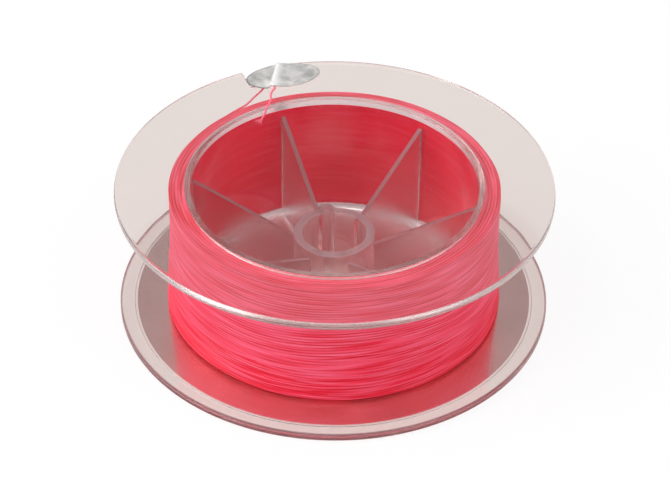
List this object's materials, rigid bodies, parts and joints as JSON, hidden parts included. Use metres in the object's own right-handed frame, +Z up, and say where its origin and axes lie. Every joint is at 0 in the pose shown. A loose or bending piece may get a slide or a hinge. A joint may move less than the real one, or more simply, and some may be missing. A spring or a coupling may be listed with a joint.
{
  "type": "fishing line spool",
  "caption": "Clear plastic line spool with two flat flanges, a ribbed hollow barrel and a keyed centre bore, wound full with pink braided line whose end is held by an oval sticker.",
  "frame": {"origin": "centre of the lower flange's underside, on the spool's axis, in the plane the spool stands on", "axes": "+Z up along the spool's axis, from the lower flange to the upper one; +Y away from the picture's camera, roughly towards the line notch; +X to the picture's right"},
  "size_m": [0.1, 0.1, 0.0349],
  "materials": {
    "clear_plastic": "clear, smooth moulded polystyrene",
    "pink_braid": "fine braided line, wound turn beside turn",
    "silver_sticker": "thin silver sticker, blank",
    "silver_foil": "satin silver foil label, blank"
  },
  "bodies": {
    "root": {"spool_body": "clear_plastic", "top_flange": "clear_plastic", "line_winding": "pink_braid", "line_end": "pink_braid", "end_sticker": "silver_sticker", "foil_label": "silver_foil"}
  },
  "joints": []
}
